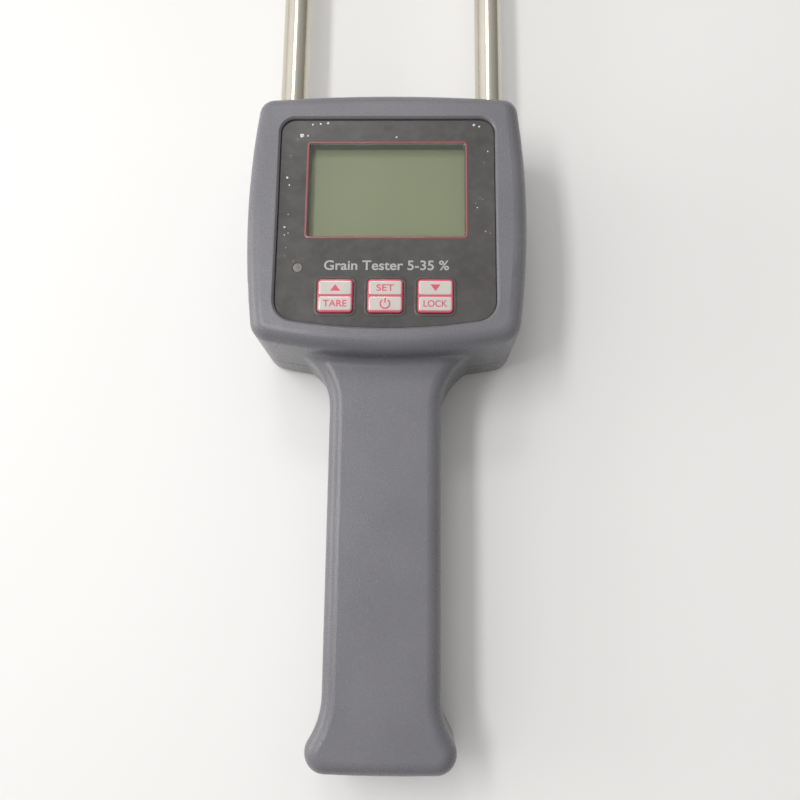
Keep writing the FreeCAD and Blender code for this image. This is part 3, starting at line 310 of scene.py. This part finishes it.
def board_laminate():
    """Green solder mask over copper: angled tracks, tinned pads, and the weave of the glass cloth."""
    s = Shader("board_laminate")
    tracks = s.add("ShaderNodeTexBrick", Vector=s.place(turn=45.0), Scale=420.0, Mortar_Size=0.06)
    weave = s.noise(1600.0, 1.0, 0.5, s.place(stretch=(1.0, 0.25, 1.0)))
    colour = s.clouded(weave, 0.35, 0.65, MASK_DARK, MASK_LIGHT)
    colour = s.mix(tracks.outputs["Fac"], colour, MASK_OVER_COPPER)
    pads = s.math("LESS_THAN", s.dots(420.0), 0.16)
    colour = s.mix(pads, colour, TIN)
    relief = s.math("ADD", tracks.outputs["Fac"], pads)
    return s.finish(Base_Color=colour, Metallic=s.math("MULTIPLY", pads, 0.8), Roughness=0.3,
                    Normal=s.bump(relief, 0.03 * MM, 0.5), Coat_Weight=0.4, Coat_Roughness=0.12)


def zebra_rubber():
    """Layered rubber: thin carbon stripes between pink insulating ones."""
    s = Shader("zebra_rubber")
    stripes = s.waves(1100.0, 0.4)
    colour = s.clouded(stripes, 0.45, 0.55, CARBON, PINK_RUBBER)
    return s.finish(Base_Color=colour, Roughness=0.65, Normal=s.bump(stripes, 0.01 * MM, 0.3))


def cell_can():
    """A shrink-sleeved dry cell: dark sleeve, a copper band at one end, bare steel at both rims."""
    s = Shader("cell_can")
    along = s.add("ShaderNodeSeparateXYZ", Vector=s.place("Generated")).outputs["Y"]
    scuff = s.noise(600.0, 4.0, 0.65)
    colour = s.clouded(scuff, 0.35, 0.7, SLEEVE_DARK, SLEEVE_SCUFF)
    band = s.math("GREATER_THAN", along, 0.74)
    colour = s.mix(band, colour, COPPER_FOIL)
    far_rim = s.math("GREATER_THAN", along, 0.965)
    near_rim = s.math("LESS_THAN", along, 0.02)
    bare = s.math("MAXIMUM", far_rim, near_rim)
    colour = s.mix(bare, colour, CAN_STEEL)
    shiny = s.math("MAXIMUM", bare, s.math("MULTIPLY", band, 0.7))
    rough = s.remap(scuff, 0.3, 0.7, 0.22, 0.34)
    normal = s.bump(scuff, 0.01 * MM, 0.3, s.soft_edge(0.3 * MM))
    return s.finish(Base_Color=colour, Metallic=shiny, Roughness=rough, Normal=normal)


def insulated_wire(name, colour):
    """Soft PVC sleeve with the faint lengthwise drag of its die."""
    s = Shader(name)
    drag = s.noise(1500.0, 2.0, 0.5, s.place(stretch=(1.0, 0.05, 1.0)))
    mixed = s.clouded(drag, 0.3, 0.7, dim(colour, 0.85), colour)
    rough = s.remap(drag, 0.3, 0.7, 0.35, 0.5)
    return s.finish(Base_Color=mixed, Roughness=rough, Normal=s.bump(drag, 0.01 * MM, 0.3),
                    Subsurface_Weight=0.05, Subsurface_Scale=0.4 * MM)


def floor_paper():
    """Pale matt paper with a fine tooth."""
    s = Shader("floor_paper")
    tooth = s.noise(1400.0, 3.0, 0.6)
    tone = s.clouded(s.noise(9.0, 2.0), 0.3, 0.7, dim(FLOOR_COLOUR, 0.985), FLOOR_COLOUR)
    normal = s.bump(tooth, 0.03 * MM, 0.25)
    return s.finish(Base_Color=tone, Roughness=0.75, Normal=normal, Specular_IOR_Level=0.2)


# The finish of each material slot in the record.
FINISHES = {
    "housing": housing_plastic(),
    "facia_film": facia_film(),
    "clear_window": clear_film(),
    "indicator_plastic": smoked_lens(),
    "led_plastic": moulded("led_plastic", (0.6, 0.12, 0.1, 1.0), 0.2),
    "key_plastic": glossy_ink("key_red", KEY_PINK, 0.28),
    "black_plastic": moulded("black_plastic", linear(40, 40, 41), 0.5),
    "display_glass": display_glass(),
    "reflector": moulded("reflector", linear(186, 189, 172), 0.35),
    "zebra_rubber": zebra_rubber(),
    "board_laminate": board_laminate(),
    "screw_steel": metal("screw_steel", (0.58, 0.58, 0.6, 1.0), 0.3),
    "chip_plastic": moulded("chip_plastic", linear(46, 46, 48), 0.55, 0.04 * MM),
    "can_steel": metal("can_steel", (0.6, 0.59, 0.57, 1.0), 0.2),
    "can_aluminium": metal("can_aluminium", (0.75, 0.75, 0.76, 1.0), 0.35, (1.0, 1.0, 0.05)),
    "blue_plastic": moulded("blue_plastic", linear(28, 78, 158), 0.35),
    "natural_plastic": moulded("natural_plastic", linear(222, 216, 200), 0.5),
    "probe_metal": metal("probe_metal", (0.66, 0.62, 0.53, 1.0), 0.17, (1.0, 0.02, 1.0)),
    "collar_plastic": moulded("collar_plastic", linear(226, 222, 210), 0.42),
    "cell_can": cell_can(),
    "spring_steel": metal("spring_steel", (0.62, 0.61, 0.6, 1.0), 0.25),
    "white_wire": insulated_wire("white_wire", linear(222, 220, 214)),
    "red_wire": insulated_wire("red_wire", linear(176, 34, 30)),
    "black_wire": insulated_wire("black_wire", linear(34, 34, 35)),
}
KEY_RED = FINISHES["key_plastic"]
KEY_CELL = glossy_ink("key_cell_ink", KEY_PALE, 0.3)
BORDER_INK = glossy_ink("border_ink", BORDER_RED, 0.35)
TITLE_INK = glossy_ink("title_ink", TITLE_GREY, 0.4)
PAINTED_GLINT_BUBBLE = painted_glint_bubble_skin()

for subpart in frame["record"]["subparts"]:
    cad_node = NODES[subpart["node"]]
    cad_node.data.materials.clear()
    cad_node.data.materials.append(FINISHES[subpart["material_slot"]])


# ---------------------------------------------------------------- meshes for what is printed or raised

SMALLEST_ROUND = 0.05 * MM


def piece(name, points, faces, material, body, smooth=True):
    """A new mesh piece that rides on a body."""
    mesh = bpy.data.meshes.new(name)
    mesh.from_pydata(points, [], faces)
    mesh.update()
    for face in mesh.polygons:
        face.use_smooth = smooth
    mesh.materials.append(material)
    made = bpy.data.objects.new(name, mesh)
    bpy.context.collection.objects.link(made)
    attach(made, body)
    return made


def rounded_outline(half_x, half_y, radius, steps=8):
    """Points round a rectangle with rounded corners, anticlockwise."""
    points = []
    for turn, (sign_x, sign_y) in enumerate(((1, 1), (-1, 1), (-1, -1), (1, -1))):
        for i in range(steps + 1):
            angle = math.radians(90) * (turn + i / steps)
            x = sign_x * (half_x - radius) + radius * math.cos(angle)
            y = sign_y * (half_y - radius) + radius * math.sin(angle)
            points.append((x, y))
    return points


def rings(centre, half_x, half_y, radius, profile):
    """Rounded rectangles one inside another: the profile is (growth, height) pairs."""
    x0, y0 = centre
    stack = []
    for growth, height in profile:
        outline = rounded_outline(half_x + growth, half_y + growth, max(radius + growth, SMALLEST_ROUND))
        stack.append([(x0 + x, y0 + y, height) for x, y in outline])
    return stack


def skin(stack, cap=True, shift=0):
    """The points of all rings, and faces that join each ring to the next, with a cap on the last."""
    count = len(stack[0])
    faces = []
    for level in range(len(stack) - 1):
        low, high = shift + level * count, shift + (level + 1) * count
        for i in range(count):
            j = (i + 1) % count
            faces.append((low + i, low + j, high + j, high + i))
    if cap:
        last = shift + (len(stack) - 1) * count
        faces.append(tuple(range(last, last + count)))
    return [spot for ring in stack for spot in ring], faces


def raised_pad(name, centre, half_x, half_y, radius, low, high, material, body):
    """A thin pad with a rolled edge and a slightly crowned top."""
    rise = high - low
    inner = min(half_x, half_y)
    profile = [(0.0, low), (0.0, low + rise * 0.35)]
    profile += [(-rise * 0.2, low + rise * 0.75), (-rise * 0.6, low + rise * 0.93)]
    profile += [(-inner * share, low + rise * (0.93 + 0.07 * share)) for share in (0.3, 0.6, 0.9)]
    points, faces = skin(rings(centre, half_x, half_y, radius, profile))
    return piece(name, points, faces, material, body)


def raised_loop(name, centre, half_x, half_y, radius, profile, material, body):
    """A band that runs round a rounded rectangle, with the given cross-section."""
    points, faces = skin(rings(centre, half_x, half_y, radius, profile), cap=False)
    return piece(name, points, faces, material, body)


def half_round(width, low, height, steps=8):
    """The cross-section of a half-round bead, from its outer foot to its inner foot."""
    angles = [math.pi * i / steps for i in range(steps + 1)]
    return [(width / 2 * math.cos(angle), low + height * math.sin(angle)) for angle in angles]


def flat_band(width, low, high):
    """The cross-section of a printed line, with sloping sides."""
    half = width / 2
    slope = (high - low) * 0.5
    return [(half, low), (half - slope, high), (slope - half, high), (-half, low)]


def prism(name, outline, low, high, material, body):
    """A flat shape of even thickness."""
    count = len(outline)
    points = [(x, y, low) for x, y in outline] + [(x, y, high) for x, y in outline]
    faces = [tuple(range(count, 2 * count))]
    faces += [(i, (i + 1) % count, count + (i + 1) % count, count + i) for i in range(count)]
    return piece(name, points, faces, material, body, smooth=False)


def ribbon(name, path, width, low, high, material, body):
    """A printed stroke of even width along a path."""
    left, right = [], []
    for i, (x, y) in enumerate(path):
        back = Vector(path[max(i - 1, 0)])
        ahead = Vector(path[min(i + 1, len(path) - 1)])
        along = (ahead - back).normalized()
        across = Vector((-along.y, along.x)) * (width / 2)
        left.append((x + across.x, y + across.y))
        right.append((x - across.x, y - across.y))
    count = len(path)
    points = [(x, y, high) for x, y in left + right] + [(x, y, low) for x, y in left + right]
    faces = []
    for i in range(count - 1):
        faces.append((i, count + i, count + i + 1, i + 1))
        faces.append((i, i + 1, 2 * count + i + 1, 2 * count + i))
        faces.append((count + i, 3 * count + i, 3 * count + i + 1, count + i + 1))
    for i in (0, count - 1):
        faces.append((i, count + i, 3 * count + i, 2 * count + i))
    return piece(name, points, faces, material, body, smooth=False)


def lettering(name, words, centre, width, height, low, high, weight, material, body):
    """Plain printed words, fitted to a width and a height."""
    face = bpy.data.curves.new(name, "FONT")
    face.body = words
    face.align_x = "CENTER"
    face.offset = weight
    source = bpy.data.objects.new(f"{name}_source", face)
    bpy.context.collection.objects.link(source)
    bpy.context.view_layer.update()
    mesh = bpy.data.meshes.new_from_object(source)
    bpy.data.objects.remove(source)
    spots = [vertex.co for vertex in mesh.vertices]
    left, right = min(spot.x for spot in spots), max(spot.x for spot in spots)
    foot, top = min(spot.y for spot in spots), max(spot.y for spot in spots)
    points = []
    for spot in spots:
        x = centre[0] + ((spot.x - left) / (right - left) - 0.5) * width
        y = centre[1] + ((spot.y - foot) / (top - foot) - 0.5) * height
        points.append((x, y, high))
    faces = [tuple(polygon.vertices) for polygon in mesh.polygons]
    bpy.data.meshes.remove(mesh)
    made = piece(name, points, faces, material, body, smooth=False)
    ink = made.modifiers.new("thickness", "SOLIDIFY")
    ink.thickness = high - low
    ink.offset = -1.0
    return made


# ---------------------------------------------------------------- facia prints

FILM_LOW, FILM_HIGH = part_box("panel_overlay")
FILM_TOP = FILM_HIGH.z
INK = 0.02 * MM

WINDOW_LOW, WINDOW_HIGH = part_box("display_window")
BORDER_WIDTH = 0.65 * MM
BORDER_ROUND = 0.9 * MM
TITLE = "Grain Tester 5-35 %"
TITLE_CENTRE = (0.2 * MM, -12.95 * MM)
TITLE_WIDTH = 32.0 * MM
TITLE_HEIGHT = 2.65 * MM
TITLE_WEIGHT = 0.016


def window_border():
    """The printed line that frames the window."""
    centre = ((WINDOW_LOW.x + WINDOW_HIGH.x) / 2, (WINDOW_LOW.y + WINDOW_HIGH.y) / 2)
    half_x = (WINDOW_HIGH.x - WINDOW_LOW.x) / 2 + BORDER_WIDTH / 2
    half_y = (WINDOW_HIGH.y - WINDOW_LOW.y) / 2 + BORDER_WIDTH / 2
    profile = flat_band(BORDER_WIDTH, FILM_TOP - INK, FILM_TOP + INK)
    raised_loop("window_border_print", centre, half_x, half_y, BORDER_ROUND, profile, BORDER_INK, "meter")


def title():
    lettering("title_print", TITLE, TITLE_CENTRE, TITLE_WIDTH, TITLE_HEIGHT, FILM_TOP - INK, FILM_TOP + INK,
              TITLE_WEIGHT, TITLE_INK, "meter")


# ---------------------------------------------------------------- key faces

KEY_HALF_X = 4.5 * MM
KEY_HALF_Y = 4.45 * MM
CELL_HALF_X = 4.12 * MM
CELL_HALF_Y = 1.82 * MM
CELL_ROUND = 0.55 * MM
CELL_RISE = 0.12 * MM
DIVIDER = 0.55 * MM
LEGEND_HEIGHT = 1.75 * MM
LETTER_WIDTH = 0.86 * LEGEND_HEIGHT
LEGEND_WEIGHT = 0.012
TRIANGLE_HALF = 1.28 * MM
POWER_RADIUS = 1.2 * MM
POWER_DROP = 0.1 * MM
STROKE = 0.36 * MM
BEAD_GAP = 0.06 * MM
BEAD_WIDTH = 0.85 * MM
BEAD_RISE = 0.14 * MM
BEAD_ROUND = 1.5 * MM


def triangle(name, centre, up, low, high, body):
    """An arrowhead that points up, with up 1, or down, with up -1."""
    x, y = centre
    half_height = LEGEND_HEIGHT / 2
    tip = (x, y + up * half_height)
    feet = [(x - up * TRIANGLE_HALF, y - up * half_height), (x + up * TRIANGLE_HALF, y - up * half_height)]
    prism(name, [tip] + feet, low, high, KEY_RED, body)


def power_symbol(name, centre, low, high, body):
    """A broken ring with a stroke in its gap."""
    x, y = centre
    start, sweep, steps = 125, 290, 32
    angles = [math.radians(start + sweep * i / steps) for i in range(steps + 1)]
    arc = [(x + POWER_RADIUS * math.cos(angle), y + POWER_RADIUS * math.sin(angle)) for angle in angles]
    ribbon(f"{name}_ring", arc, STROKE, low, high, KEY_RED, body)
    stem = [(x, y + POWER_RADIUS * share) for share in (1.35, 0.8, 0.25)]
    ribbon(f"{name}_stem", stem, STROKE, low, high, KEY_RED, body)


def legend(name, kind, x, y, low, high, body):
    """What is printed on one cell: an arrow, the power symbol, or a word."""
    if kind in ("up", "down"):
        triangle(name, (x, y), 1 if kind == "up" else -1, low, high, body)
    elif kind == "power":
        power_symbol(name, (x, y - POWER_DROP), low, high, body)
    else:
        lettering(name, kind, (x, y), LETTER_WIDTH * len(kind), LEGEND_HEIGHT, low, high, LEGEND_WEIGHT,
                  KEY_RED, body)


def key_face(side, upper, lower):
    """The raised red cap's two pale cells, their legends, and the embossed bead round the key."""
    body = f"key_{side}"
    low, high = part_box(body)
    top = high.z
    middle_x = (low.x + high.x) / 2
    middle_y = (low.y + high.y) / 2
    reach = CELL_HALF_Y + DIVIDER / 2
    cell_top = top + CELL_RISE
    for row, y in (("upper", middle_y + reach), ("lower", middle_y - reach)):
        raised_pad(f"key_{side}_{row}_cell", (middle_x, y), CELL_HALF_X, CELL_HALF_Y, CELL_ROUND,
                   top - INK, cell_top, KEY_CELL, body)
    for kind, y in ((upper, middle_y + reach), (lower, middle_y - reach)):
        legend(f"key_{side}_{kind}_legend", kind, middle_x, y, cell_top - INK, cell_top + INK, body)
    half_x = KEY_HALF_X + BEAD_GAP + BEAD_WIDTH / 2
    half_y = KEY_HALF_Y + BEAD_GAP + BEAD_WIDTH / 2
    profile = half_round(BEAD_WIDTH, FILM_TOP - INK, BEAD_RISE)
    raised_loop(f"key_{side}_bead", (middle_x, middle_y), half_x, half_y, BEAD_ROUND, profile,
                FINISHES["facia_film"], "meter")


# ---------------------------------------------------------------- blisters in the film, coloured near white as painted glints

# Where the larger blisters are, from the film's left and top edges, and their radii, in millimetres.
LARGE_BLISTERS = (
    (8.2, 1.2, 0.3), (10.3, 1.0, 0.32), (12.2, 0.8, 0.38), (5.4, 4.4, 0.55), (7.0, 4.5, 0.3),
    (1.9, 16.6, 0.34), (2.5, 18.7, 0.26), (51.0, 1.4, 0.34), (52.4, 1.9, 0.25), (1.7, 30.5, 0.28),
    (30.5, 4.9, 0.26))
# How many small ones are scattered at both sides, how far out and how far along, and their radii.
SMALL_BLISTERS = 16
SMALL_ACROSS = (23.0, 27.0)
SMALL_ALONG = (-24.0, 26.0)
SMALL_RADIUS = (0.1, 0.2)
BLISTER_FLATNESS = 0.32
BLISTER_SEED = 11


def blister(centre, radius, rise, wobble):
    """Rings of a small uneven dome."""
    x0, y0 = centre
    steps, levels = 14, 5
    lumps = [1 + 0.25 * wobble.uniform(-1, 1) for _ in range(steps)]
    lumps = [(lumps[i - 1] + lumps[i] * 2 + lumps[(i + 1) % steps]) / 4 for i in range(steps)]
    stack = []
    for level in range(levels):
        lean = level / levels * math.pi / 2
        reach = radius * math.cos(lean)
        height = FILM_TOP - INK + (rise + INK) * math.sin(lean)
        ring = []
        for i, lump in enumerate(lumps):
            angle = 2 * math.pi * i / steps
            out = reach * lump
            ring.append((x0 + out * math.cos(angle), y0 + out * math.sin(angle), height))
        stack.append(ring)
    return stack


def film_blisters_painted_glints():
    """Air trapped under the film and coloured near white as painted glints: a few at the top edge and
    corners, and a fine scatter at both sides.
    """
    wobble = random.Random(BLISTER_SEED)
    spots = []
    for across, down, radius in LARGE_BLISTERS:
        spots.append((FILM_LOW.x + across * MM, FILM_HIGH.y - down * MM, radius * MM))
    for _ in range(SMALL_BLISTERS):
        edge = wobble.choice((-1, 1))
        x = edge * wobble.uniform(*SMALL_ACROSS) * MM
        y = wobble.uniform(*SMALL_ALONG) * MM
        spots.append((x, y, wobble.uniform(*SMALL_RADIUS) * MM))
    points, faces = [], []
    for x, y, radius in spots:
        dome = blister((x, y), radius, radius * BLISTER_FLATNESS, wobble)
        more_points, more_faces = skin(dome, shift=len(points))
        points += more_points
        faces += more_faces
    piece("film_blisters_painted_glints", points, faces, PAINTED_GLINT_BUBBLE, "meter")


window_border()
title()
key_face("left", "up", "TARE")
key_face("centre", "SET", "power")
key_face("right", "down", "LOCK")
film_blisters_painted_glints()


# ---------------------------------------------------------------- floor, light, camera

FLOOR_SIZE = 3.0

# The room's colour, and its brightness towards each side. Between them it changes smoothly.
ROOM_COLOUR = (1.0, 0.992, 0.98, 1.0)
ROOM_LEFT = 1.26
ROOM_RIGHT = 0.41
ROOM_HORIZON = 0.62
ROOM_FRONT = 0.5

CAMERA_PLACE = (8.283 * MM, -88.5 * MM, 227.133 * MM)
CAMERA_TILT = 11.8059
CAMERA_LEAN = 1.2323
CAMERA_TURN = 0.3603
CAMERA_LENS = 36.0


def floor():
    half = FLOOR_SIZE / 2
    mesh = bpy.data.meshes.new("floor")
    corners = [(-half, -half, 0), (half, -half, 0), (half, half, 0), (-half, half, 0)]
    mesh.from_pydata(corners, [], [(0, 1, 2, 3)])
    mesh.materials.append(floor_paper())
    plate = bpy.data.objects.new("floor", mesh)
    bpy.context.collection.objects.link(plate)


def room():
    """The room's own light: brighter on the left and overhead than on the right and at the horizon."""
    world = bpy.data.worlds.new("room")
    world.use_nodes = True
    n = Nodes(world.node_tree)
    view = n.add("ShaderNodeTexCoord").outputs["Generated"]
    split = n.add("ShaderNodeSeparateXYZ", Vector=view)
    side = n.remap(split.outputs["X"], -0.9, 0.8, ROOM_LEFT, ROOM_RIGHT, smooth=True)
    rise = n.remap(split.outputs["Z"], 0.0, 0.6, ROOM_HORIZON, 1.0, smooth=True)
    depth = n.remap(split.outputs["Y"], -0.9, 0.3, ROOM_FRONT, 1.0, smooth=True)
    background = n.tree.nodes["Background"]
    n.put(background.inputs["Color"], ROOM_COLOUR)
    n.put(background.inputs["Strength"], n.math("MULTIPLY", n.math("MULTIPLY", side, rise), depth))
    bpy.context.scene.world = world


def soft_light(name, place, aim, size, power, colour):
    data = bpy.data.lights.new(name, "AREA")
    data.shape = "RECTANGLE"
    data.size, data.size_y = size
    data.energy = power
    data.color = colour
    lamp = bpy.data.objects.new(name, data)
    lamp.location = place
    lamp.visible_camera = False
    lamp.rotation_euler = (Vector(aim) - Vector(place)).to_track_quat("-Z", "Y").to_euler()
    bpy.context.collection.objects.link(lamp)


def lights():
    """A long lamp close on the left, a window far beyond the probes, and a low fill on the left."""
    soft_light("key_light", place=(-0.215, 0.0, 0.5), aim=(0.0, 0.0, 0.0), size=(0.3, 0.07), power=1.0,
               colour=(1.0, 0.995, 0.985))
    soft_light("far_light", place=(-0.15, 0.80, 1.05), aim=(0.0, 0.03, 0.0), size=(0.24, 0.17), power=1.4,
               colour=(1.0, 0.99, 0.97))
    soft_light("left_fill", place=(-0.60, 0.02, 0.20), aim=(0.0, 0.0, 0.02), size=(0.4, 0.25), power=1.1,
               colour=(1.0, 0.995, 0.99))


def camera():
    """Above the grip, looking down and a little towards the head."""
    data = bpy.data.cameras.new("camera")
    data.lens = CAMERA_LENS
    data.sensor_width = 36.0
    data.clip_start = 0.01
    eye = bpy.data.objects.new("camera", data)
    turned = Matrix.Rotation(math.radians(CAMERA_TILT), 4, "X")
    turned @= Matrix.Rotation(math.radians(CAMERA_LEAN), 4, "Y")
    turned @= Matrix.Rotation(math.radians(CAMERA_TURN), 4, "Z")
    eye.matrix_world = Matrix.Translation(CAMERA_PLACE) @ turned
    bpy.context.collection.objects.link(eye)
    bpy.context.scene.camera = eye


floor()
room()
lights()
camera()
bpy.context.scene.view_settings.view_transform = "Standard"
